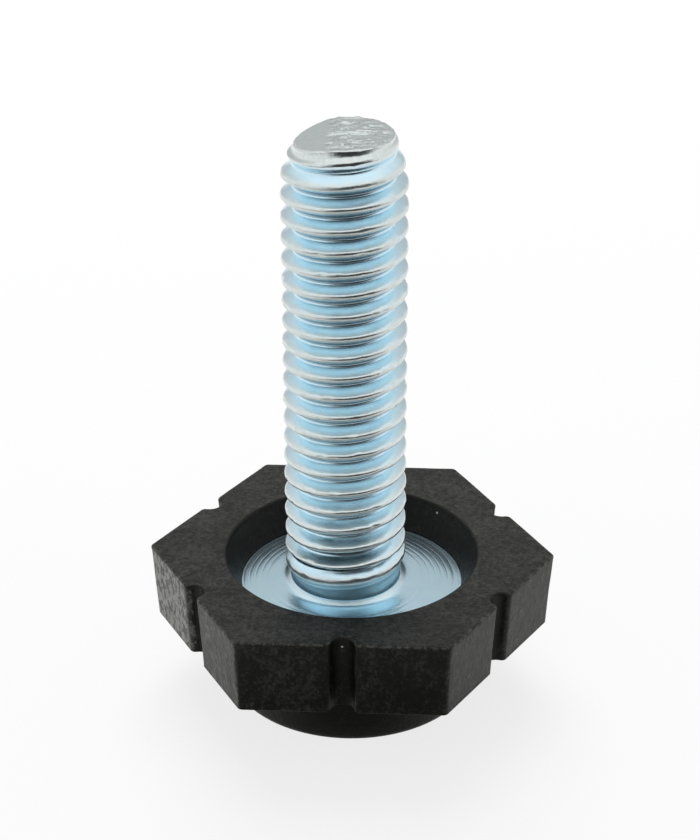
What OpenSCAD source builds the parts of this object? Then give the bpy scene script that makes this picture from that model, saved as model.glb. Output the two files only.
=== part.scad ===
// Adjustable cabinet leg: a flanged, threaded steel stud with a moulded hexagonal foot around its flange.
// Millimetres, +Z up. The origin is the middle of the base's resting face.
// The helix of the thread isn't cut here: the stud's shank has the thread's major diameter.

/* [Stud] */
// Major diameter of the thread (5/16 in, 18 turns to the inch)
thread_d = 7.94; // [6:0.01:10]
// Height of the stud's end above the flange's rim
stud_h = 31.35; // [20:0.05:60]
// How much the plain neck is cut below the thread's radius
neck_cut = 0.3; // [0.1:0.05:0.6]
// Height from the flange's rim to where the thread begins to rise
neck_h = 1.45; // [1:0.05:3]
// Height over which the last turn runs out to the neck
runout_h = 0.4; // [0.2:0.05:1]
// How far the tip tapers in from the thread's radius
tip_cut = 0.95; // [0.3:0.05:1.5]
// Height of the tapered tip
tip_h = 2.6; // [0.5:0.1:4]
// How far the stud's axis sits from the middle of the base, along X
stud_shift = -0.4; // [-0.6:0.05:0.6]

/* [Flange] */
// Thickness of the flange at its rim
flange_t = 1.6; // [1:0.05:2.5]
// How far the plastic covers the flange's rim
flange_grip = 0.8; // [0.7:0.05:1.5]
// How deep the two flats are cut that stop the flange turning in the plastic
flat_cut = 0.4; // [0.2:0.05:0.6]
// How much the visible face rises from its rim to the collar
crown_h = 0.25; // [0:0.05:0.5]
// Radius of the hollow collar between the visible face and the neck
collar_r = 0.45; // [0.2:0.05:0.8]

/* [Base] */
// Overall height of the moulded base
base_h = 9.6; // [7:0.1:16]
// Width of the hexagon across its flats, at the top
hex_af = 23.3; // [19.4:0.1:34]
// Height of the hexagonal head
hex_h = 5.15; // [4.25:0.05:6.5]
// How far each side of the hexagon leans in from its top to its bottom
hex_lean = 0.31; // [0:0.01:0.5]
// Radius of the hexagon's upright edges
edge_r = 0.4; // [0.1:0.05:1]
// Diameter of the round foot
foot_d = 16.6; // [14:0.1:21]
// Radius of the foot's bottom edge
foot_edge_r = 0.5; // [0.1:0.1:1.5]

/* [Recess] */
// Diameter of the recess at the top of the base
recess_d = 16.8; // [14:0.1:20.2]
// Depth of the recess, from the top of the base to the flange's rim
recess_depth = 2.2; // [1.5:0.1:2.6]
// How far the recess's wall leans in from its top to the flange
recess_lean = 1.1; // [0.2:0.1:1.2]

/* [Grip notches] */
// Radius of each notch's hollow floor
notch_r = 0.75; // [0.4:0.05:1.2]
// Depth of each notch from the side of the hexagon
notch_depth = 0.9; // [0.6:0.05:1.2]
// Radius of the rounded lips at each notch's mouth
lip_r = 0.4; // [0.1:0.05:0.6]

/* [Hidden] */
// Room left between the flange's edge and the plastic moulded round it
mould_gap = 0.02;
// Room left between the raised part of the flange and the edge of the plastic
crown_gap = 0.1;
// How far a cutting shape runs past the surface that it opens
over = 1;
// How far a rounding arc crosses what it runs into, so that no sliver is left between the two
arc_cross = 0.0005;
$fn = 96;

thread_r = thread_d / 2;
neck_r = thread_r - neck_cut;
tip_r = thread_r - tip_cut;

foot_r = foot_d / 2;
foot_h = base_h - hex_h;
hex_side = hex_af / 2;
hex_corner = hex_side / cos(30);
side_tilt = atan(hex_lean / hex_h);
corner_tilt = atan(hex_lean / cos(30) / hex_h);
// Half the angle that two leaning sides turn through at their corner, seen along the corner's edge
corner_turn = acos((1 + pow(sin(side_tilt), 2)) / 2) / 2;

recess_r = recess_d / 2;
opening_r = recess_r - recess_lean;
rim_z = base_h - recess_depth;
flange_r = opening_r + flange_grip;
flange_z = rim_z - flange_t;
crown_r = opening_r - abs(stud_shift) - crown_gap;
crown_z = rim_z + crown_h;

thread_z = rim_z + neck_h;
tip_z = rim_z + stud_h;

// The flange's round plate with its two flats, made larger all round by room for the plastic's pocket
module flange_plate(room) {
    translate([stud_shift, 0, flange_z])
        intersection() {
            cylinder(r = flange_r + room, h = flange_t + room);
            translate([-flange_r - over, -flange_r + flat_cut - room, -over])
                cube([2 * (flange_r + over), 2 * (flange_r - flat_cut + room), flange_t + 2 * over]);
        }
}

// Half section of the shank: crown, hollow collar, neck, run-out, thread's cylinder and tapered tip
module shank_section() {
    polygon([
        [0, flange_z + flange_t / 2],
        [neck_r, flange_z + flange_t / 2],
        [crown_r, rim_z],
        [neck_r + collar_r, crown_z],
        [neck_r, crown_z],
        [neck_r, thread_z],
        [thread_r, thread_z + runout_h],
        [thread_r, tip_z - tip_h],
        [tip_r, tip_z],
        [0, tip_z]
    ]);
    translate([neck_r, crown_z])
        difference() {
            translate([-over, -over])
                square([over + collar_r, over + collar_r]);
            translate([collar_r, collar_r])
                circle(r = collar_r);
            translate([0, -over])
                square([over, over]);
        }
}

module stud() {
    color([0.78, 0.83, 0.88]) {
        flange_plate(0);
        translate([stud_shift, 0, 0])
            rotate_extrude()
                shank_section();
    }
}

// Moves a cutting shape to the top edge of a leaning side or corner, with X pointing outwards
module on_head(angle, reach, tilt) {
    rotate([0, 0, angle])
        translate([reach, 0, base_h])
            rotate([0, tilt, 0])
                translate([0, 0, -hex_h - over])
                    children();
}

// Section of one grip notch: a hollow floor that runs smoothly into two rounded lips
module notch_section() {
    floor_x = notch_r - notch_depth;
    lip_y = sqrt(pow(notch_r + lip_r - arc_cross, 2) - pow(floor_x + lip_r, 2));
    difference() {
        polygon([[over, -lip_y], [-lip_r, -lip_y], [floor_x, 0], [-lip_r, lip_y], [over, lip_y]]);
        for (side = [-1, 1])
            translate([-lip_r, side * lip_y])
                circle(r = lip_r);
    }
    translate([floor_x, 0])
        circle(r = notch_r);
}

// Section of what is taken off one corner of the hexagon to round it
module edge_section() {
    difference() {
        translate([-edge_r * tan(corner_turn) * sin(corner_turn), -edge_r])
            square([edge_r + over, 2 * edge_r]);
        translate([-(edge_r - arc_cross) / cos(corner_turn), 0])
            circle(r = edge_r);
    }
}

module hex_head() {
    difference() {
        translate([0, 0, foot_h])
            cylinder(r = hex_corner + over, h = hex_h);
        for (side = [0:5]) {
            on_head(60 * side + 30, hex_side, side_tilt)
                translate([0, -hex_corner, 0])
                    cube([hex_corner, 2 * hex_corner, hex_h + 2 * over]);
            on_head(60 * side + 30, hex_side, side_tilt)
                linear_extrude(height = hex_h + 2 * over)
                    notch_section();
            on_head(60 * side, hex_corner, corner_tilt)
                linear_extrude(height = hex_h + 2 * over)
                    edge_section();
        }
    }
}

// The round foot under the head, with a rounded bottom edge
module round_foot() {
    rotate_extrude() {
        translate([0, foot_edge_r])
            square([foot_r, foot_h - foot_edge_r]);
        square([foot_r - foot_edge_r, foot_h]);
        translate([foot_r - foot_edge_r, foot_edge_r])
            intersection() {
                circle(r = foot_edge_r);
                translate([0, -foot_edge_r])
                    square([foot_edge_r, 2 * foot_edge_r]);
            }
    }
}

// The round recess in the top, which leans in to the edge that covers the flange's rim
module recess() {
    lean = recess_lean / recess_depth;
    translate([0, 0, rim_z])
        cylinder(r1 = opening_r, r2 = recess_r + over * lean, h = recess_depth + over);
}

module base() {
    color([0.14, 0.14, 0.14])
        difference() {
            union() {
                hex_head();
                round_foot();
            }
            recess();
            flange_plate(mould_gap);
        }
}

base();
stud();
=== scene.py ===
"""Looks for the adjustable cabinet leg: the stud's rolled thread, the moulded base and their finishes."""
import math

import bmesh
import bpy
import numpy as np
from mathutils import Matrix


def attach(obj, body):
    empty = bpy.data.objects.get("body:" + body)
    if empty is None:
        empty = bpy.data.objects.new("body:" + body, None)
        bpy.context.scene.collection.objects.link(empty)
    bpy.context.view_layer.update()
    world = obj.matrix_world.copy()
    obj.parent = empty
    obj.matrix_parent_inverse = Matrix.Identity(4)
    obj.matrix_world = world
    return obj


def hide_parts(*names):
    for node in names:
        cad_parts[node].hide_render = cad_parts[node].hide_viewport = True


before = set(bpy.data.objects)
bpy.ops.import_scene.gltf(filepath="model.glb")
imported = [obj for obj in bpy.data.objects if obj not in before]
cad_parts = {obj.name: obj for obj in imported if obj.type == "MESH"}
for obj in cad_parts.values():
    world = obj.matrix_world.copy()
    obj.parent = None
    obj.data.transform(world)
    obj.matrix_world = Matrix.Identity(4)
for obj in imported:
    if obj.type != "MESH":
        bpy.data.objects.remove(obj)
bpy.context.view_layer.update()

MM = 0.001

# Sizes in mm. They are the CAD part's, but here the neck is 0.02 slimmer and the head reaches 0.1 lower.
STUD_X = -0.4
THREAD_R = 3.97
PITCH = 1.411
NECK_R = 3.65
TIP_R = 3.02
BASE_TOP = 9.6
RIM_Z = BASE_TOP - 2.2
TIP_Z = RIM_Z + 31.35
FLANGE_Z = RIM_Z - 1.6
FLANGE_R = 8.1
FLANGE_FLAT = 7.7
OPENING_R = 7.3
RECESS_R = 8.4
MOULD_GAP = 0.02
HEAD_BOTTOM = BASE_TOP - 5.25
FOOT_R = 8.3
FOOT_EDGE = 0.5
HEX_SIDE = 11.65
HEX_LEAN = 0.31
HEX_EDGE = 0.4
NEAR_ZERO = 1e-6


def smooth(low, high, value):
    """0 at low, 1 at high, smooth between them and flat beyond them. Low may be the greater one."""
    t = np.clip((np.asarray(value, float) - low) / (high - low), 0, 1)
    return t * t * (3 - 2 * t)


# Large odd numbers that scatter a lattice point's whole coordinates into a value that looks random.
SCATTER = (73856093, 19349663, 83492791)
SCATTER_SEED = 2654435761
SCATTER_AGAIN = 1274126177
HALF_16_BITS = 32767.5


def lattice_noise(points, size, seed):
    """Smooth noise from -1 to 1 at points (n, 3), with cells of the given size, the same on each run."""
    p = np.asarray(points, float) / size
    cell = np.floor(p).astype(np.int64)
    f = p - cell
    f = f * f * (3 - 2 * f)
    total = np.zeros(len(p))
    for corner in range(8):
        d = np.array([corner & 1, corner >> 1 & 1, corner >> 2 & 1])
        x, y, z = ((cell + d) * SCATTER).T
        h = x ^ y ^ z ^ (seed * SCATTER_SEED)
        h = (h ^ (h >> 13)) * SCATTER_AGAIN & 0xFFFFFFFF
        h = (h ^ (h >> 16)) & 0xFFFF
        total += np.prod(np.where(d == 1, f, 1 - f), axis=1) * (h / HALF_16_BITS - 1)
    return total


def waves(points, parts):
    """The sum of several noises, each given as (mm, cell size, seed)."""
    return sum(mm * lattice_noise(points, size, seed) for mm, size, seed in parts)


def turned(degrees):
    """The sine and cosine of an angle in degrees."""
    return math.sin(math.radians(degrees)), math.cos(math.radians(degrees))


MERGE_M = 2e-7
NO_LENGTH_M = 1e-7


def make_piece(name, points, faces, sharp_deg, attributes):
    """A closed mesh piece from points in mm: smooth faces, sharp edges above an angle, point attributes."""
    mesh = bpy.data.meshes.new(name)
    mesh.from_pydata([tuple(p) for p in (np.asarray(points) * MM)], [], faces)
    for key, values in attributes.items():
        layer = mesh.attributes.new(key, "FLOAT", "POINT")
        layer.data.foreach_set("value", np.asarray(values, np.float32).reshape(-1))
    bm = bmesh.new()
    bm.from_mesh(mesh)
    bmesh.ops.remove_doubles(bm, verts=bm.verts, dist=MERGE_M)
    bmesh.ops.dissolve_degenerate(bm, edges=bm.edges, dist=NO_LENGTH_M)
    loose = [v for v in bm.verts if not v.link_faces]
    bmesh.ops.delete(bm, geom=loose, context="VERTS")
    bmesh.ops.recalc_face_normals(bm, faces=bm.faces)
    for face in bm.faces:
        face.smooth = True
    for edge in bm.edges:
        if len(edge.link_faces) == 2 and edge.calc_face_angle(0) > math.radians(sharp_deg):
            edge.smooth = False
    bm.to_mesh(mesh)
    bm.free()
    piece = bpy.data.objects.new(name, mesh)
    bpy.context.scene.collection.objects.link(piece)
    return piece


# The thread as the photograph shows it: its flanks' slope, its rounded crests and roots, and one place that a
# crest would pass at a constant pitch, PHASE_DEG round the stud and CREST_H above the flange's rim.
COLUMNS = 112
FLANK_DEG = 59
CREST_ROUND = 0.23
ROOT_ROUND = 0.20
ROUND_POINTS = 7
PHASE_DEG = 181.5
CREST_H = 14.99

# How far the crests stray upwards from a constant pitch, as (mm, height where it begins, height where it is
# whole). The first squeezes the last turn up against the one above it, where the thread was rolled out to the
# neck.
STRAY = ((0.35, 2.9, 1.9), (0.40, 14.0, 1.0), (-0.20, 12, 20))

# Heights above the flange's rim. The rows begin at THREAD_START_H, the crests sink into the neck over
# CREST_END_H and the root rises to it over RUN_OUT_H. A crest under LAST_CREST_H has no groove below it. The
# run-out is shaped below MIDDLE_H, and the tip above it.
THREAD_START_H = 0.9
RUN_OUT_H = (1.2, 2.9)
CREST_END_H = (0.1, 0.8)
LAST_CREST_H = 2.6
MIDDLE_H = 12

# The tapered end. SHOULDER is the crests' outline, as (height from the tip, radius). Heights marked BELOW are
# from the tip too.
SHOULDER = [
    (-3.25, 3.97), (-2.85, 3.96), (-2.35, 3.91), (-1.75, 3.73), (-1.1, 3.50), (-0.7, 3.42), (-0.45, 3.30),
    (-0.15, 3.10), (0.55, TIP_R)]
TIP_ROOT_CUT = 0.05
TIP_ROOT_BELOW = (-1.95, -0.45)
TIP_SHARPER = 0.3
TIP_SHARPER_BELOW = (-2.2, -1.2)
END_WALL_R = 3.07
END_WALL_LEAN = 0.16
END_WALL_H = (30.2, 30.7)
END_WALL_DROP = 1.1
END_WALL_PROUD = 0.05
END_EDGE = 0.1

# Where the finish changes across a turn, in mm from its crest: the crest's underside is dull, and painted
# shade darkens the root and the lower flank under each crest.
DULL_ABOVE = (0.08, -0.02)
DULL_BELOW = (-0.42, -0.26)
PAINTED_SHADE_UNDER = (-0.42, -0.50)
PAINTED_SHADE_OVER = (0.64, 0.70)
FINISH_END_BELOW = (-1.2, -2.2)
PAINTED_SHADE_START_H = (2.0, 3.0)


def thread_profile():
    """(height from the crest, radius) for one turn, from root to root, and the root's radius."""
    half = PITCH / 2
    tilt = math.radians(FLANK_DEG)
    steps = np.linspace(0, tilt, ROUND_POINTS)
    crest = np.stack([CREST_ROUND * np.sin(steps), THREAD_R - CREST_ROUND * (1 - np.cos(steps))], 1)
    run = half - (CREST_ROUND + ROOT_ROUND) * math.sin(tilt)
    foot = crest[-1] + [run, -run * math.tan(tilt)]
    root_r = foot[1] - ROOT_ROUND * (1 - math.cos(tilt))
    back = steps[::-1]
    root = np.stack([half - ROOT_ROUND * np.sin(back), root_r + ROOT_ROUND * (1 - np.cos(back))], 1)
    flank = [crest[-1] + t * (foot - crest[-1]) for t in (1 / 3, 2 / 3)]
    right = np.vstack([crest, flank, root])
    left = right[:0:-1] * [-1, 1]
    return np.vstack([left, right[:-1]]), root_r


def run_out_radius(share, s, crest_h, root_r):
    """The thread's radius as it runs out to the neck: share is 0 at the root and 1 at the crest."""
    root = root_r + (NECK_R - root_r) * (1 - smooth(*RUN_OUT_H, crest_h + math.copysign(PITCH / 2, s)))
    r = root + share * (THREAD_R - root)
    if s < 0:
        r = np.where(crest_h < LAST_CREST_H, np.maximum(r, NECK_R), r)
    return NECK_R + (r - NECK_R) * np.where(r > NECK_R, smooth(*CREST_END_H, crest_h), 1)


def tip_radius(share, s, crest_h, root_r, below):
    """The thread's radius as its crests follow the shoulder: below is the height from the tip."""
    outer = np.interp(below, *zip(*SHOULDER))
    root = root_r - TIP_ROOT_CUT * smooth(*TIP_ROOT_BELOW, below)
    r = root + share ** (1 - TIP_SHARPER * smooth(*TIP_SHARPER_BELOW, below)) * (outer - root)
    if s > 0:
        # Above the last crest the wall is plain and steep, up to the sheared end.
        from_crest = np.interp(below - s, *zip(*SHOULDER)) - END_WALL_DROP * s
        wall = np.maximum(END_WALL_R - END_WALL_LEAN * below, from_crest)
        r += (np.minimum(wall, outer + END_WALL_PROUD) - r) * smooth(*END_WALL_H, crest_h)
    return r


def thread_rows(phi):
    """Rows of points up the thread at the angles phi, as five arrays: height, radius, crest, dull and painted
    shade in the roots.
    """
    profile, root_r = thread_profile()
    first = math.floor((THREAD_START_H - CREST_H) / PITCH) - 2
    last = math.ceil((TIP_Z - RIM_Z - CREST_H) / PITCH) + 2
    rows = []
    for turn in range(first, last + 1):
        crest_h = CREST_H + PITCH * ((np.degrees(phi) - PHASE_DEG) / 360 + turn)
        for s, r in profile:
            share = (r - root_r) / (THREAD_R - root_r)
            h = crest_h + s
            h = h + sum(mm * smooth(begins, whole, h) for mm, begins, whole in STRAY)
            low_r = run_out_radius(share, s, crest_h, root_r)
            high_r = tip_radius(share, s, crest_h, root_r, RIM_Z + h - TIP_Z)
            # The third value is the painted shade in the root and under the crest.
            across = (np.clip(share, 0, 1), smooth(*DULL_ABOVE, s) * smooth(*DULL_BELOW, s),
                      max(smooth(*PAINTED_SHADE_UNDER, s), smooth(*PAINTED_SHADE_OVER, s)))
            finish = [np.full(len(phi), value) for value in across]
            rows.append([RIM_Z + h, np.where(h < MIDDLE_H, low_r, high_r), *finish])
    z, r, crest, dull, root_painted_shade = np.array(rows).swapaxes(0, 1)
    dull = dull * smooth(*FINISH_END_BELOW, z - TIP_Z)
    root_painted_shade = root_painted_shade * smooth(*FINISH_END_BELOW, z - TIP_Z) * smooth(*PAINTED_SHADE_START_H, z - RIM_Z)
    # Rows beyond the ends of the thread fold onto its end rings.
    low, high = RIM_Z + THREAD_START_H, TIP_Z - END_EDGE
    for end, outside in ((low, z < low), (high, z > high)):
        for i in range(len(phi)):
            r[outside[:, i], i] = np.interp(end, z[:, i], r[:, i])
        crest[outside] = 0
    return np.clip(z, low, high), r, crest, dull, root_painted_shade


# The flange's visible face: a shallow cone with fine turned rings near its rim. Radii and heights in mm.
PLATE_EDGE = 0.05
UNDERSIDE_R = (0, 4, 7.6)
FACE_R = np.arange(7.45, 5.15, -0.033)
FACE_WEAR = 0.5
CONE_RISE = 0.135
CONE_RUN = 2.2
RING_R = 5.24
RING_APART = 0.397
RING_WIDTH = 0.06
RING_DEPTH = 0.007
RING_END_R = (5.0, 5.3)

# The hollow collar from the face up to the neck, as (radius, height above the flange's rim), and its wear.
COLLAR = [
    (5.1, 0.138), (4.9, 0.144), (4.7, 0.152), (4.52, 0.163), (4.38, 0.175), (4.27, 0.189), (4.18, 0.206),
    (4.10, 0.228), (4.03, 0.255), (3.97, 0.285), (3.92, 0.313), (3.87, 0.342), (3.82, 0.372), (3.77, 0.401),
    (3.73, 0.424), (3.69, 0.446), (3.65, 0.465), (3.65, 0.76)]
COLLAR_WEAR = 0.45
COLLAR_WEAR_MORE = 0.3
COLLAR_WEAR_H = (0.22, 0.36)
NECK_CLEAN_R = (3.65, 3.68)

# The sheared end's rings: its rounded edge and the flat inside it.
END_EDGE_R = TIP_R + 0.06
END_FACE_R = np.linspace(2.88, 0, 33)


def flange_rings(phi):
    """Rings from the middle of the flange's underside up to the neck, as (radius, height, wear)."""
    rings = [(radius, FLANGE_Z, 0) for radius in UNDERSIDE_R]
    edge = np.minimum(FLANGE_R, FLANGE_FLAT / np.maximum(np.abs(np.sin(phi)), NEAR_ZERO))
    for inset, height in ((PLATE_EDGE, FLANGE_Z), (0, FLANGE_Z + PLATE_EDGE), (0, RIM_Z - PLATE_EDGE),
                          (PLATE_EDGE, RIM_Z)):
        rings.append((edge - inset, height, 0))
    for radius in FACE_R:
        height = CONE_RISE * min(1, max(0, (OPENING_R - radius) / CONE_RUN))
        nearest = round((radius - RING_R) / RING_APART) * RING_APART + RING_R
        groove = RING_DEPTH * math.exp(-((radius - nearest) / RING_WIDTH) ** 2)
        rings.append((radius, RIM_Z + height - groove * float(smooth(*RING_END_R, radius)), FACE_WEAR))
    for radius, height in COLLAR:
        wear = COLLAR_WEAR + COLLAR_WEAR_MORE * float(smooth(*COLLAR_WEAR_H, height))
        rings.append((radius, RIM_Z + height, wear * float(smooth(*NECK_CLEAN_R, radius))))
    return rings


def end_rings():
    """Rings from the edge of the sheared end to its middle, as (radius, height, wear)."""
    rings = []
    for s, c in map(turned, (30, 60, 90)):
        rings.append((END_EDGE_R - END_EDGE * (1 - c), TIP_Z - END_EDGE + END_EDGE * s, 1))
    return rings + [(radius, TIP_Z, 1) for radius in END_FACE_R]


# Rolled metal is never quite true: slow waves and small dents along the crests, and a ragged lower lip where
# the thread ends. Waves are (mm, cell size, seed), and the heights are above the flange's rim.
ROLL_WAVES = ((0.012, 1.1, 3), (0.016, 0.30, 5))
ROLL_SHARE_ROOT = 0.35
DENT_CELL, DENT_SEED = 0.42, 11
DENT_FROM = 0.36
DENT_DEPTH = 0.14
DENT_WEAR = (0.75, 1)
LIP_WAVES = ((0.028, 0.24, 13),)
LIP_LOW_H = (1.35, 1.5)
LIP_HIGH_H = (2.3, 2.0)
SHANK_START_H = (1.2, 2.0)
SIDE_R = (2.9, 3.1)


def roll_marks(points, radius, worn):
    """Moves the shank's points in and out by its waves and dents."""
    out = points[:, :2] / np.maximum(radius, NEAR_ZERO)[:, None]
    height = points[:, 2] - RIM_Z
    wave = waves(points, ROLL_WAVES)
    wave += waves(points, LIP_WAVES) * smooth(*LIP_LOW_H, height) * smooth(*LIP_HIGH_H, height)
    wave *= ROLL_SHARE_ROOT + (1 - ROLL_SHARE_ROOT) * worn
    dent = np.clip(lattice_noise(points, DENT_CELL, DENT_SEED) - DENT_FROM, 0, 1) * DENT_DEPTH
    move = (wave - dent * smooth(*DENT_WEAR, worn)) * smooth(*SHANK_START_H, height) * smooth(*SIDE_R, radius)
    points[:, :2] += out * move[:, None]


# The sheared end: its left edge rolls down, and the rest is scraped into sharp shallow ridges. Each set of
# ridges is (how much closer along X, how much closer along Y, cell size, seed).
END_BELOW = (-1.55, 0)
END_FALL = 0.60
END_FALL_X = (0.0, -3.4)
END_SHIFT_Y = 0.2
FACE_BELOW = (-0.12, -0.02)
BROAD_RIDGES = (0.55, 1.6, 0.46, 21)
FINE_RIDGES = (0.7, 2.0, 0.22, 23)
RIDGE_TOP = 1.4
RIDGE_HEIGHT = 0.075
RIDGE_SINK = 0.107
RIDGE_X = (-1.4, -0.6)


def ridges(points, along_x, along_y, size, seed):
    """A noise folded at its middle, which is 0 to 1 below the sharp tops where it is 0."""
    return np.abs(lattice_noise(points * [along_x, along_y, 1], size, seed))


def shear_end(points):
    """Shapes the sheared end. Gives how far each point fell, and how far it belongs to the end's face."""
    end = smooth(*END_BELOW, points[:, 2] - TIP_Z)
    face = smooth(*FACE_BELOW, points[:, 2] - TIP_Z)
    fall = end * END_FALL * smooth(*END_FALL_X, points[:, 0])
    points[:, 2] -= fall
    points[:, 1] += end * END_SHIFT_Y
    ridge = 1 - ridges(points, *BROAD_RIDGES) * 2 + 0.5 - ridges(points, *FINE_RIDGES)
    rise = np.clip(ridge, 0, RIDGE_TOP) * RIDGE_HEIGHT - RIDGE_SINK
    points[:, 2] += face * rise * smooth(*RIDGE_X, points[:, 0])
    return fall, face


# Where the finish is matt, worn, turned or tinted as the neck. Heights are above the flange's rim, those
# marked BELOW are from the tip, and the shares are of a full change.
MATT_FACE = 0.6
MATT_LIP_H = ((1.2, 1.4), (2.4, 2.0))
MATT_NECK = 0.4
MATT_NECK_H = ((0.24, 0.32), (1.4, 1.2))
END_WORN_BELOW = (-1.0, -0.8)
TIP_WEAR = 0.55
TIP_WORN_BELOW = (-2.3, -1.6)
TURNED_R = (4.1, 4.4)
NECK_TINT_H = ((0.42, 0.48), (1.5, 1.35))
NECK_TINT_R = (3.75, 3.7)
STUD_SHARP_DEG = 42


def between(edges, value):
    """1 between two soft edges, and 0 beyond them."""
    return smooth(*edges[0], value) * smooth(*edges[1], value)


def grid_faces(rows, count, closed):
    """Four-sided faces between rows of count points each, which close on themselves or not."""
    faces = []
    for first in range(0, (rows - 1) * count, count):
        for i in range(count if closed else count - 1):
            after = first + (i + 1) % count
            faces.append((first + i, after, after + count, first + i + count))
    return faces


def build_stud():
    """The stud in one mesh: flange, turned face, collar, neck, helical thread and sheared end."""
    phi = np.linspace(0, 2 * math.pi, COLUMNS + 1)
    z, r, crest, dull, root_painted_shade = thread_rows(phi)
    lower, upper = flange_rings(phi), end_rings()

    def stack(k, rows):
        """The thread's rows with value k of the rings below and above them."""
        return np.vstack([[x[k] + 0 * phi for x in lower], rows, [x[k] + 0 * phi for x in upper]])

    all_r, all_z, worn = stack(0, r), stack(1, z), stack(2, crest).reshape(-1)
    dull, root_painted_shade = (np.pad(x, ((len(lower), len(upper)), (0, 0))).reshape(-1) for x in (dull, root_painted_shade))
    points = np.stack([all_r * np.cos(phi), all_r * np.sin(phi), all_z], 2).reshape(-1, 3)
    radius = all_r.reshape(-1)
    roll_marks(points, radius, worn)
    fall, face = shear_end(points)
    points[:, 0] += STUD_X

    low = points[:, 2] - RIM_Z
    below = points[:, 2] + fall - TIP_Z
    lip = between(MATT_LIP_H, low) + MATT_NECK * between(MATT_NECK_H, low)
    steps = np.hypot(np.diff(all_r, axis=0, prepend=all_r[:1]), np.diff(all_z, axis=0, prepend=all_z[:1]))
    angle = np.tile(phi, len(all_r))
    end_worn = np.maximum(smooth(*END_WORN_BELOW, below), TIP_WEAR * smooth(*TIP_WORN_BELOW, below))
    return make_piece("threaded_stud", points, grid_faces(len(all_r), COLUMNS + 1, False), STUD_SHARP_DEG, {
        "worn": np.maximum(worn, end_worn),
        "matt": np.maximum.reduce([MATT_FACE * face, lip, dull]),
        "turned": smooth(*TURNED_R, radius),
        # Painted shade in the roots and under the crests.
        "root_painted_shade": root_painted_shade,
        "neck": between(NECK_TINT_H, low) * smooth(*NECK_TINT_R, radius),
        "around_x": np.cos(angle),
        "around_y": np.sin(angle),
        "along": np.cumsum(steps, axis=0),
    })


# The head's sides, each with its notch: depth, floor radius and its two lip radii. Side 4 faces the camera.
NOTCHES = [
    (0.84, 0.74, 0.40, 0.40),
    (0.74, 0.74, 0.40, 0.42),
    (0.76, 0.74, 0.42, 0.40),
    (0.86, 0.74, 0.38, 0.42),
    (0.94, 0.76, 0.66, 0.34),
    (0.86, 0.74, 0.40, 0.36),
]
# How scuffed the first and the second half of each side are, and the rest of the base. The sides' values are
# partly painted light and shade: the lit left-front side 3 is paler, and the front side 4 darker.
SIDE_SCUFF_AND_PAINTED_LIGHT = ((0.48, 0.44), (0.36, 0.38), (0.44, 0.50), (1.2, 0.72), (0.22, 0.12), (0.42, 0.55))
SCUFF_LIP_SHARE = 0.6
SCUFF_TOP = 0.45
# The rounded edges' value is partly wear and partly a painted highlight along them.
EDGE_SCUFF_AND_HIGHLIGHT = 0.75
# Below zero, the foot and the recess get less dust than plain plastic, as painted shade.
FOOT_PAINTED_SHADE = -0.3
RECESS_PAINTED_SHADE = -0.3
RUBBED_FROM = (0.3, 0.4)

# The points on each side of the outline: corner, flat, lip, notch's floor, lip, flat, corner.
CORNER_STEPS = 5
FLAT_POINTS = 13
LIP_STEPS = 9
FLOOR_POINTS = 23
FIRST_HALF = (CORNER_STEPS + 1, FLAT_POINTS, LIP_STEPS + 1)
LAST_HALF = (LIP_STEPS + 1, FLAT_POINTS, CORNER_STEPS)


def outline_scuff_and_painted_light():
    """How scuffed each point of outline() is, partly as painted light and shade: the flats most, the notches'
    floors not, which keeps them dark as painted shade.
    """
    found = []
    for first, last in SIDE_SCUFF_AND_PAINTED_LIGHT:
        values = [first, first, SCUFF_LIP_SHARE * first, 0, SCUFF_LIP_SHARE * last, last, last]
        found.append(np.repeat(values, [*FIRST_HALF, FLOOR_POINTS, *LAST_HALF]))
    return np.concatenate(found)


def outline(apothem, inset):
    """The head's rounded and notched outline at one height: points (n, 2), moved in by inset."""
    corner_tan = math.tan(math.radians(30))
    corner_y = apothem * corner_tan - HEX_EDGE * corner_tan
    found = []
    for side, (depth, floor_r, lip_a, lip_b) in enumerate(NOTCHES):
        floor_x = floor_r - depth
        pieces = []
        normals = []

        def add_arc(centre, radius, angles, hollow=False):
            n = np.stack([np.cos(angles), np.sin(angles)], 1)
            pieces.append(np.array(centre) + radius * n)
            normals.append(-n if hollow else n)

        def add_flat(start, end):
            y = np.linspace(start, end, FLAT_POINTS + 2)[1:-1]
            pieces.append(np.stack([np.zeros_like(y), y], 1))
            normals.append(np.tile([1.0, 0.0], (len(y), 1)))

        # Half a corner, a flat and a lip, then the hollow floor, then a lip, a flat and half a corner.
        y_a, y_b = (math.sqrt((floor_r + lip) ** 2 - (floor_x + lip) ** 2) for lip in (lip_a, lip_b))
        turn_a, turn_b = math.atan2(y_a, floor_x + lip_a), math.atan2(y_b, floor_x + lip_b)
        corner = np.radians(np.linspace(0, 30, CORNER_STEPS + 1))
        add_arc((-HEX_EDGE, -corner_y), HEX_EDGE, -corner[::-1])
        add_flat(-corner_y, -y_a)
        add_arc((-lip_a, -y_a), lip_a, np.linspace(0, turn_a, LIP_STEPS + 1))
        first = math.atan2(-y_a, -lip_a - floor_x)
        last = math.atan2(y_b, -lip_b - floor_x) - 2 * math.pi
        add_arc((floor_x, 0), floor_r, np.linspace(first, last, FLOOR_POINTS + 2)[1:-1], hollow=True)
        add_arc((-lip_b, y_b), lip_b, np.linspace(-turn_b, 0, LIP_STEPS + 1))
        add_flat(y_b, corner_y)
        add_arc((-HEX_EDGE, corner_y), HEX_EDGE, corner)
        # The last point is the next side's first.
        p = (np.vstack(pieces) - np.vstack(normals) * inset)[:-1]
        p[:, 0] += apothem
        s, c = turned(60 * side + 30)
        found.append(p @ np.array([[c, s], [-s, c]]))
    return np.vstack(found)


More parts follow.
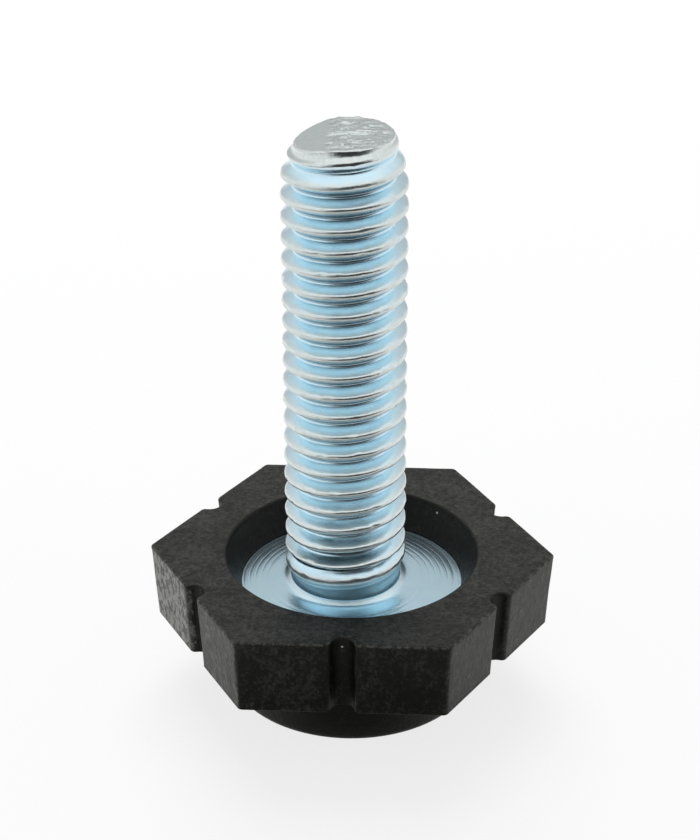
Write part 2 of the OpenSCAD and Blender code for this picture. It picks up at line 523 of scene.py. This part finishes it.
# The base's roundings in mm, their rows as degrees of the arc, and its other rows from pocket to foot.
TOP_ROUND = 0.15
BOTTOM_ROUND = 0.07
RIM_ROUND = 0.16
RIM_ROUND_IN = 0.075
FOOT_HOLLOW = 0.15
FINE_ROUND_DEG = (22.5, 45, 67.5, 90)
COARSE_ROUND_DEG = (30, 60, 90)
RIM_ROUND_DEG = (20, 45, 70, 90)
FOOT_ROUND_DEG = (15, 30, 45, 60, 75, 90)
POCKET_R = 4.0
LIP_UNDER = 0.06
LIP_EDGE = (0.02, 0.05)
RECESS_FROM, RECESS_TO, RECESS_ROWS = 0.1, 0.17, 12
TOP_ROWS = 11
SIDE_ROWS = 14
UNDER_SHARES = (0.7, 0.4, 0.15, 0)
FOOT_ROWS = 8
SOLE_R = (7.2, 5.6, 3.2, 0.0)

# Sink and mould waviness: the faces lie this far in, and are not quite flat. Waves are (mm, cell size, seed).
TOP_SINK = 0.028
TOP_WAVES = ((0.02, 2.6, 31), (0.008, 0.9, 33))
SIDE_SINK = 0.024
SIDE_WAVES = ((0.016, 2.2, 41), (0.008, 0.8, 43))
BASE_SHARP_DEG = 38


def apothem_at(z):
    """How far the head's sides are from its middle at one height."""
    return HEX_SIDE - HEX_LEAN * (BASE_TOP - z) / (BASE_TOP - HEAD_BOTTOM)


def pocket_reach(direction):
    """How far the pocket reaches from the base's middle: it follows the flange's rim, centred on the stud."""
    b = direction[0] * STUD_X
    reach = b + math.sqrt(b * b - STUD_X ** 2 + (FLANGE_R + MOULD_GAP) ** 2)
    return min(reach, (FLANGE_FLAT + MOULD_GAP) / max(abs(direction[1]), NEAR_ZERO))


def build_base():
    """The base in one mesh: pocket, recess, top, notched sides and round foot."""
    levels = []
    top = outline(HEX_SIDE, TOP_ROUND)
    angle = np.arctan2(top[:, 1], top[:, 0])
    direction = np.stack([np.cos(angle), np.sin(angle)], 1)
    count = len(top)

    def add(places, z):
        levels.append(np.column_stack([places, np.full(count, z)]))

    def add_round(radius, z):
        add(direction * radius, z)

    def add_flat(inner_r, outer, z, shares):
        for t in shares:
            add(direction * inner_r * (1 - t) + outer * t, z)

    # From the middle of the pocket's floor, round the pocket, up the recess, over the top, down to the foot.
    add_round(0.0, FLANGE_Z)
    add_round(POCKET_R, FLANGE_Z)
    pocket = np.array([pocket_reach(d) for d in direction])[:, None]
    add_round(pocket, FLANGE_Z)
    add_round(pocket, RIM_Z + MOULD_GAP)
    add_round(OPENING_R + LIP_UNDER, RIM_Z + MOULD_GAP)
    add_round(OPENING_R + LIP_EDGE[0], RIM_Z + LIP_EDGE[1])
    slope = (RECESS_R - OPENING_R) / (BASE_TOP - RIM_Z)
    for z in np.linspace(RIM_Z + RECESS_FROM, BASE_TOP - RECESS_TO, RECESS_ROWS):
        add_round(OPENING_R + slope * (z - RIM_Z), z)
    for s, c in map(turned, RIM_ROUND_DEG):
        add_round(RECESS_R - RIM_ROUND_IN + RIM_ROUND * (1 - c), BASE_TOP - RIM_ROUND * (1 - s))
    top_start = len(levels) - 1
    add_flat(RECESS_R - RIM_ROUND_IN + RIM_ROUND, top, BASE_TOP, np.linspace(0, 1, TOP_ROWS + 1)[1:])
    edge_start = len(levels)
    for s, c in map(turned, FINE_ROUND_DEG):
        z = BASE_TOP - TOP_ROUND * (1 - c)
        add(outline(apothem_at(z), TOP_ROUND * (1 - s)), z)
    side_start = len(levels)
    for z in np.linspace(BASE_TOP - TOP_ROUND, HEAD_BOTTOM + BOTTOM_ROUND, SIDE_ROWS + 1)[1:]:
        add(outline(apothem_at(z), 0), z)
    side_end = len(levels)
    for s, c in map(turned, COARSE_ROUND_DEG):
        z = HEAD_BOTTOM + BOTTOM_ROUND * (1 - s)
        add(outline(apothem_at(z), BOTTOM_ROUND * (1 - c)), z)
    under_start = len(levels)
    add_flat(FOOT_R + FOOT_HOLLOW, outline(apothem_at(HEAD_BOTTOM), BOTTOM_ROUND), HEAD_BOTTOM, UNDER_SHARES)
    for s, c in map(turned, COARSE_ROUND_DEG):
        add_round(FOOT_R + FOOT_HOLLOW * (1 - s), HEAD_BOTTOM - FOOT_HOLLOW * (1 - c))
    for z in np.linspace(HEAD_BOTTOM - FOOT_HOLLOW, FOOT_EDGE, FOOT_ROWS + 1)[1:]:
        add_round(FOOT_R, z)
    for s, c in map(turned, FOOT_ROUND_DEG):
        add_round(FOOT_R - FOOT_EDGE * (1 - c), FOOT_EDGE * (1 - s))
    for radius in SOLE_R:
        add_round(radius, 0.0)

    grid = np.array(levels)
    flat = grid[top_start + 1:side_start].reshape(-1, 3)
    flat[:, 2] -= TOP_SINK + waves(flat, TOP_WAVES)
    sides = grid[side_start:side_end].reshape(-1, 3)
    out = sides[:, :2] / np.linalg.norm(sides[:, :2], axis=1)[:, None]
    sides[:, :2] -= out * (SIDE_SINK + waves(sides, SIDE_WAVES))[:, None]

    flats = [sum(FIRST_HALF), FLOOR_POINTS, sum(LAST_HALF)]
    # Scuff with painted light and shade: the sides' values, the edges' (partly a painted highlight), and the
    # foot and recess kept dark as painted shade.
    edge_scuff_and_highlight = EDGE_SCUFF_AND_HIGHLIGHT * np.tile(np.repeat([1.0, 0.0, 1.0], flats), len(NOTCHES))
    scuff_and_painted_light = np.full((len(levels), count), RECESS_PAINTED_SHADE)
    scuff_and_painted_light[top_start:edge_start] = SCUFF_TOP
    scuff_and_painted_light[edge_start:side_start] = edge_scuff_and_highlight
    scuff_and_painted_light[side_start - 1:side_end] = outline_scuff_and_painted_light()
    scuff_and_painted_light[side_end:under_start] = edge_scuff_and_highlight
    scuff_and_painted_light[under_start:] = FOOT_PAINTED_SHADE
    rubbed = np.zeros((len(levels), count))
    rubbed[side_start - 1:side_end] = smooth(*RUBBED_FROM, outline_scuff_and_painted_light())
    return make_piece("moulded_base", grid.reshape(-1, 3), grid_faces(len(levels), count, True),
                      BASE_SHARP_DEG, {"scuff_and_painted_light": scuff_and_painted_light, "rubbed": rubbed})


class Nodes:
    """A short way to write node trees."""

    def __init__(self, tree, output_kind):
        self.tree = tree
        self.tree.nodes.clear()
        self.out = self.add(output_kind)

    def add(self, kind, **settings):
        node = self.tree.nodes.new(kind)
        for key, value in settings.items():
            if key.startswith("in_"):
                node.inputs[key[3:].replace("_", " ")].default_value = value
            else:
                setattr(node, key, value)
        return node

    def link(self, a, b):
        self.tree.links.new(a, b)

    def math(self, operation, a, b=None, clamp=False):
        node = self.add("ShaderNodeMath", operation=operation, use_clamp=clamp)
        for i, value in enumerate((a, b)):
            if isinstance(value, (int, float)):
                node.inputs[i].default_value = value
            elif value is not None:
                self.link(value, node.inputs[i])
        return node.outputs[0]

    def plus(self, a, b):
        return self.math("ADD", a, b)

    def minus(self, a, b, clamp=False):
        return self.math("SUBTRACT", a, b, clamp)

    def times(self, a, b):
        return self.math("MULTIPLY", a, b)

    def fade_in(self, value, low, high):
        """Black up to low, white from high, and a straight ramp between them."""
        node = self.add("ShaderNodeValToRGB")
        first, last = node.color_ramp.elements
        first.position, first.color = low, (0, 0, 0, 1)
        last.position, last.color = high, (1, 1, 1, 1)
        self.link(value, node.inputs[0])
        return node.outputs[0]

    def noise(self, vector, scale, detail=2.0, rough=0.5):
        node = self.add("ShaderNodeTexNoise", in_Scale=scale, in_Detail=detail, in_Roughness=rough)
        self.link(vector, node.inputs["Vector"])
        return node.outputs["Fac"]

    def mix(self, share, a, b):
        node = self.add("ShaderNodeMix", data_type="RGBA")
        self.link(share, node.inputs[0])
        for socket, value in ((node.inputs[6], a), (node.inputs[7], b)):
            if isinstance(value, tuple):
                socket.default_value = (*value, 1)
            else:
                self.link(value, socket)
        return node.outputs[2]

    def step(self, value, low, high):
        """0 at low, 1 at high and smooth between them. Low may be the greater one."""
        node = self.add("ShaderNodeMapRange", interpolation_type="SMOOTHSTEP")
        self.link(value, node.inputs[0])
        if low > high:
            low, high = high, low
            node.inputs[3].default_value, node.inputs[4].default_value = 1, 0
        node.inputs[1].default_value, node.inputs[2].default_value = low, high
        return node.outputs[0]

    def attribute(self, name):
        return self.add("ShaderNodeAttribute", attribute_name=name).outputs["Fac"]

    def vector(self, x, y, z):
        node = self.add("ShaderNodeCombineXYZ")
        for i, value in enumerate((x, y, z)):
            self.link(value, node.inputs[i])
        return node.outputs[0]

    def split(self, vector):
        node = self.add("ShaderNodeSeparateXYZ")
        self.link(vector, node.inputs[0])
        return node.outputs

    def bump(self, height, shader, strength, distance):
        node = self.add("ShaderNodeBump", in_Strength=strength, in_Distance=distance)
        self.link(height, node.inputs["Height"])
        self.link(node.outputs[0], shader.inputs["Normal"])


def new_material(name):
    """An empty material, and its nodes."""
    material = bpy.data.materials.new(name)
    material.use_nodes = True
    return material, Nodes(material.node_tree, "ShaderNodeOutputMaterial")


# The plating's colours: two of each, which a noise mixes.
PLATE_BLUE = ((0.60, 0.83, 0.96), (0.72, 0.93, 1.0))
PLATE_GREY = ((0.62, 0.69, 0.67), (0.84, 0.88, 0.86))
# Painted shade: a dark navy mixed into the roots and under the crests, where shade falls.
ROOT_PAINTED_SHADE = (0.06, 0.10, 0.14)
ROOT_PAINTED_SHADE_SHARE = 0.5
NECK_BLUE = (0.58, 0.86, 1.0)
WORN_FROM, WORN_TO = 0.52, 0.98
WORN_BLOTCH = 0.35
# Streaks run round the stud, so they are drawn long that way. Other scales are in cells per metre.
STREAK_AROUND = 0.45
STREAK_SCALE = 9.0
BLOTCH_SCALE = 900
GRAIN_SCALE = 3000
PITTED_SCALE = 6500
PITTED_SHARE = 0.65
PLATE_ROUGH = 0.16
PLATE_ROUGH_STREAK = 0.14
PLATE_ROUGH_MATT = 0.20
# The bump's height from the grain and from the streaks, and how much that changes on the turned face.
GRAIN_HEIGHT, GRAIN_TURNED_LESS = 0.5, 0.45
STREAK_HEIGHT, STREAK_TURNED_MORE = 0.2, 0.5
PLATE_BUMP = (0.45, 0.00003)


def plated_steel():
    """Zinc plate with a blue passivate: bluer in the roots, greyer on worn crests and the sheared end, and a
    dark navy painted shade in the roots.
    """
    material, n = new_material("blue_zinc_plate")
    shader = n.add("ShaderNodeBsdfPrincipled", in_Metallic=1, in_IOR=1.5)
    n.link(shader.outputs[0], n.out.inputs[0])
    place = n.add("ShaderNodeTexCoord").outputs["Object"]
    streak_at = n.vector(n.times(n.attribute("around_x"), STREAK_AROUND),
                         n.times(n.attribute("around_y"), STREAK_AROUND), n.attribute("along"))
    streak = n.noise(streak_at, STREAK_SCALE, 3, 0.6)
    blotch = n.noise(place, BLOTCH_SCALE, 4, 0.6)
    grain = n.noise(place, GRAIN_SCALE, 3, 0.6)
    worn = n.plus(n.attribute("worn"), n.times(n.minus(blotch, 0.5), WORN_BLOTCH))
    worn = n.fade_in(worn, WORN_FROM, WORN_TO)
    colour = n.mix(worn, n.mix(blotch, *PLATE_BLUE), n.mix(grain, *PLATE_GREY))
    # Painted shade in the roots and under the crests.
    colour = n.mix(n.times(n.attribute("root_painted_shade"), ROOT_PAINTED_SHADE_SHARE), colour, ROOT_PAINTED_SHADE)
    n.link(n.mix(n.attribute("neck"), colour, NECK_BLUE), shader.inputs["Base Color"])
    rough = n.plus(n.times(streak, PLATE_ROUGH_STREAK), PLATE_ROUGH)
    n.link(n.plus(rough, n.times(n.attribute("matt"), PLATE_ROUGH_MATT)), shader.inputs["Roughness"])
    turned_share = n.attribute("turned")
    grained = n.minus(GRAIN_HEIGHT, n.times(turned_share, GRAIN_TURNED_LESS))
    ringed = n.plus(STREAK_HEIGHT, n.times(turned_share, STREAK_TURNED_MORE))
    height = n.plus(n.times(streak, ringed), n.times(grain, grained))
    pitted = n.times(n.minus(1.0, turned_share), n.times(worn, PITTED_SHARE))
    height = n.plus(height, n.times(n.noise(place, PITTED_SCALE, 2, 0.6), pitted))
    n.bump(height, shader, *PLATE_BUMP)
    return material


# The plastic's colours, and its scales in cells per metre. Its upright grain is drawn a little tall.
PLASTIC_BLACK = ((0.002, 0.002, 0.0018), (0.007, 0.007, 0.0065))
DUST_THIN = (0.072, 0.073, 0.065)
DUST_THICK = (0.30, 0.30, 0.283)
PIT_BLACK = (0.02, 0.02, 0.018)
PIT_SHARE = 0.85
SPECK_PALE = (0.55, 0.55, 0.52)
PLASTIC_SHEEN = (1, 0.99, 0.92, 1)
PLASTIC_IOR = 1.32
TALL = (1, 1, 0.6)
FINE_SCALE = 4300
MIDDLE_SCALE = 1900
BROAD_SCALE = 420
PIT_SCALE = 2600
SPECK_SCALE = 520
SPECK_SIZE = 0.045
SPECK_RARE = 0.86
# Dust lies where the grain is high. It fades in slowly on plain faces, and more sharply on rubbed ones.
DUST_FINE, DUST_MIDDLE, DUST_BROAD, DUST_SCUFF_AND_LIGHT = 0.6, 0.4, 0.25, 0.20
DUST_PLAIN = (0.52, 0.86)
DUST_RUBBED = (0.60, 0.74)
THICK_SCUFF_AND_LIGHT = (0.45, 1.2)
PIT_NOISE = (0.52, 0.44)
PIT_SCUFF = (0.38, 0.6)
PLASTIC_ROUGH, PLASTIC_ROUGH_BROAD, PLASTIC_ROUGH_FINE = 0.20, 0.15, 0.3
PLASTIC_BUMP = (0.8, 0.00007)
BUMP_FINE = 0.6


def black_plastic():
    """Moulded black plastic with a coarse grain, pale dust and small pits. The dust's amount also paints
    light and shade: paler on the lit side, darker in the notches, recess and foot.
    """
    material, n = new_material("black_moulded_plastic")
    shader = n.add("ShaderNodeBsdfPrincipled", in_IOR=PLASTIC_IOR, in_Specular_Tint=PLASTIC_SHEEN)
    n.link(shader.outputs[0], n.out.inputs[0])
    place = n.add("ShaderNodeTexCoord").outputs["Object"]
    mapping = n.add("ShaderNodeMapping", in_Scale=TALL)
    n.link(place, mapping.inputs["Vector"])
    tall = mapping.outputs[0]
    fine = n.noise(place, FINE_SCALE, 4, 0.7)
    middle = n.noise(tall, MIDDLE_SCALE, 4, 0.65)
    broad = n.noise(place, BROAD_SCALE, 3, 0.55)
    # Scuff, and painted light and shade, from the mesh: it sets how much pale dust a face gets.
    scuff_and_painted_light = n.attribute("scuff_and_painted_light")
    base_colour = n.mix(middle, *PLASTIC_BLACK)
    level = n.plus(n.times(fine, DUST_FINE), n.times(middle, DUST_MIDDLE))
    level = n.plus(level, n.times(n.minus(broad, 0.5), DUST_BROAD))
    level = n.plus(level, n.times(scuff_and_painted_light, DUST_SCUFF_AND_LIGHT))
    dust = n.mix(n.attribute("rubbed"), n.fade_in(level, *DUST_PLAIN), n.fade_in(level, *DUST_RUBBED))
    pale = n.mix(n.step(scuff_and_painted_light, *THICK_SCUFF_AND_LIGHT), DUST_THIN, DUST_THICK)
    pit = n.times(n.step(n.noise(tall, PIT_SCALE, 3, 0.6), *PIT_NOISE), n.step(scuff_and_painted_light, *PIT_SCUFF))
    pale = n.mix(n.times(pit, PIT_SHARE), pale, PIT_BLACK)
    # A few of the cells of a cell pattern hold one pale speck each.
    cells = n.add("ShaderNodeTexVoronoi", in_Scale=SPECK_SCALE)
    n.link(place, cells.inputs["Vector"])
    chosen = n.add("ShaderNodeSeparateColor")
    n.link(cells.outputs["Color"], chosen.inputs[0])
    speck = n.times(n.math("LESS_THAN", cells.outputs["Distance"], SPECK_SIZE),
                    n.math("GREATER_THAN", chosen.outputs[0], SPECK_RARE))
    n.link(n.mix(speck, n.mix(dust, base_colour, pale), SPECK_PALE), shader.inputs["Base Color"])
    rough = n.plus(n.times(broad, PLASTIC_ROUGH_BROAD), n.times(fine, PLASTIC_ROUGH_FINE))
    n.link(n.plus(rough, PLASTIC_ROUGH), shader.inputs["Roughness"])
    n.bump(n.plus(n.times(fine, BUMP_FINE), middle), shader, *PLASTIC_BUMP)
    return material


stud = build_stud()
stud.data.materials.append(plated_steel())
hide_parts("stud")
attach(stud, "root")

base = build_base()
base.data.materials.append(black_plastic())
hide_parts("base")
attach(base, "root")

for node, finish in (("stud", stud), ("base", base)):
    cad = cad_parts[node]
    cad.data.materials.clear()
    cad.data.materials.append(finish.data.materials[0])

# The floor, in metres. In reflections it is white behind the part and in a band in front of it. Between the
# two, in the middle only, lies a soft shade, and beyond the band it is dark.
FLOOR_HALF = 1.5
FLOOR_PALE = (0.86, 0.86, 0.86)
FLOOR_DARK = (0.04, 0.04, 0.04)
FLOOR_WHITE_SHARE = 0.8
PAPER_BEHIND = (-0.014, -0.004)
PAPER_SHADE = (-0.032, -0.026)
PAPER_END = (-0.090, -0.070)
SHADE_SIDE = (0.009, 0.015)
SHADE_SHARE = 0.6


def make_floor():
    """A wide flat floor, seen as white and keeping the part's shadow."""
    mesh = bpy.data.meshes.new("floor")
    corners = ((-1, -1), (1, -1), (1, 1), (-1, 1))
    mesh.from_pydata([(x * FLOOR_HALF, y * FLOOR_HALF, 0) for x, y in corners], [], [(0, 1, 2, 3)])
    floor = bpy.data.objects.new("floor", mesh)
    bpy.context.scene.collection.objects.link(floor)
    material, n = new_material("pale_floor")
    aside, ahead, _ = n.split(n.add("ShaderNodeTexCoord").outputs["Object"])
    path = n.add("ShaderNodeLightPath")
    glossy = path.outputs["Is Glossy Ray"]
    behind = n.step(ahead, *PAPER_BEHIND)
    band = n.minus(n.step(ahead, *PAPER_END), n.step(ahead, *PAPER_SHADE))
    paper = n.plus(behind, band)
    white_share = n.math("MAXIMUM", path.outputs["Is Camera Ray"], n.times(glossy, paper))
    white_share = n.times(white_share, FLOOR_WHITE_SHARE)
    beyond = n.step(ahead, PAPER_END[1], PAPER_END[0])
    middle = n.step(n.math("ABSOLUTE", aside), SHADE_SIDE[1], SHADE_SIDE[0])
    shade = n.times(n.times(n.minus(1.0, paper, clamp=True), middle), SHADE_SHARE)
    dark = n.times(glossy, n.math("MAXIMUM", beyond, shade))
    plain = n.add("ShaderNodeBsdfDiffuse")
    n.link(n.mix(dark, FLOOR_PALE, FLOOR_DARK), plain.inputs[0])
    white = n.add("ShaderNodeEmission", in_Color=(1, 1, 1, 1), in_Strength=1)
    mixed = n.add("ShaderNodeMixShader")
    for i, socket in enumerate((white_share, plain.outputs[0], white.outputs[0])):
        n.link(socket, mixed.inputs[i])
    n.link(mixed.outputs[0], n.out.inputs[0])
    mesh.materials.append(material)


# The light tent: the wall's level behind, how much brighter it is at the sides, and how dark the opening at
# the front is, as shares of full white. Pairs are ranges of the direction's parts. Rays that aren't mirrored
# get DIFFUSE_SHARE of the light.
WALL_BACK = 0.58
WALL_SIDE_MORE = 0.35
WALL_SIDE = (0.35, 0.8)
FRONT_DARK = 0.93
FRONT_TURN_DEG = 20
FRONT = (0.5, 0.85)
TENT_TOP = (0.60, 0.85)
TENT_COLOUR = (0.98, 0.99, 1, 1)
DIFFUSE_SHARE = 0.5


def make_world():
    """A light tent, dark at its front, brightest above and at the sides, and white to the camera."""
    world = bpy.data.worlds.new("studio")
    bpy.context.scene.world = world
    world.use_nodes = True
    n = Nodes(world.node_tree, "ShaderNodeOutputWorld")
    x, y, z = n.split(n.add("ShaderNodeTexCoord").outputs["Generated"])
    turn_sin, turn_cos = turned(FRONT_TURN_DEG)
    ahead = n.minus(n.times(x, turn_sin), n.times(y, turn_cos))
    wall = n.plus(n.times(n.step(n.math("ABSOLUTE", x), *WALL_SIDE), WALL_SIDE_MORE), WALL_BACK)
    wall = n.times(wall, n.minus(1.0, n.times(n.step(ahead, *FRONT), FRONT_DARK)))
    top = n.step(z, *TENT_TOP)
    level = n.plus(n.times(wall, n.minus(1.0, top)), top)
    path = n.add("ShaderNodeLightPath")
    share = n.plus(n.times(path.outputs["Is Glossy Ray"], 1 - DIFFUSE_SHARE), DIFFUSE_SHARE)
    light = n.add("ShaderNodeBackground", in_Color=TENT_COLOUR)
    n.link(n.times(level, share), light.inputs[1])
    white = n.add("ShaderNodeBackground", in_Color=(1, 1, 1, 1), in_Strength=1)
    seen = n.add("ShaderNodeMixShader")
    for i, socket in enumerate((path.outputs["Is Camera Ray"], light.outputs[0], white.outputs[0])):
        n.link(socket, seen.inputs[i])
    n.link(seen.outputs[0], n.out.inputs[0])


def put_in_scene(name, data, right, up, back, at):
    """A lamp or camera at a point in metres, with the directions of its own three axes."""
    thing = bpy.data.objects.new(name, data)
    bpy.context.scene.collection.objects.link(thing)
    rows = [(right[i], up[i], back[i], at[i]) for i in range(3)]
    thing.matrix_world = Matrix([*rows, (0, 0, 0, 1)])
    return thing


LAMP_AT = (-0.05, 0.28, 0.42)
LAMP_TARGET = (0, 0, 0.015)
LAMP_SIZE = 0.35
LAMP_WATTS = 2.2


def make_lamp():
    """A square softbox above and behind the part, which reflections don't show."""
    lamp = bpy.data.lights.new("back_top_box", "AREA")
    lamp.size = LAMP_SIZE
    lamp.energy = LAMP_WATTS
    back = np.subtract(LAMP_AT, LAMP_TARGET)
    back /= np.linalg.norm(back)
    right = np.cross((0, 0, 1), back)
    right /= np.linalg.norm(right)
    box = put_in_scene("back_top_box", lamp, right, np.cross(back, right), back, LAMP_AT)
    box.visible_glossy = False


# The camera as solved from the photograph, in metres.
CAMERA_AT = (0.006707, -0.127106, 0.085210)
CAMERA_RIGHT = (0.998624, 0.052398, -0.001898)
CAMERA_UP = (-0.022420, 0.459455, 0.887918)
CAMERA_BACK = (0.047398, -0.886654, 0.459997)
CAMERA_LENS_MM = 95.39
CAMERA_SENSOR_MM = 36
CAMERA_CLIP = (0.005, 20)


def make_camera():
    """The camera at the photograph's viewing angle."""
    camera = bpy.data.cameras.new("camera")
    camera.sensor_width = CAMERA_SENSOR_MM
    camera.lens = CAMERA_LENS_MM
    camera.clip_start, camera.clip_end = CAMERA_CLIP
    thing = put_in_scene("camera", camera, CAMERA_RIGHT, CAMERA_UP, CAMERA_BACK, CAMERA_AT)
    bpy.context.scene.camera = thing


make_floor()
make_world()
make_lamp()
make_camera()

bpy.context.scene.view_settings.view_transform = "Standard"
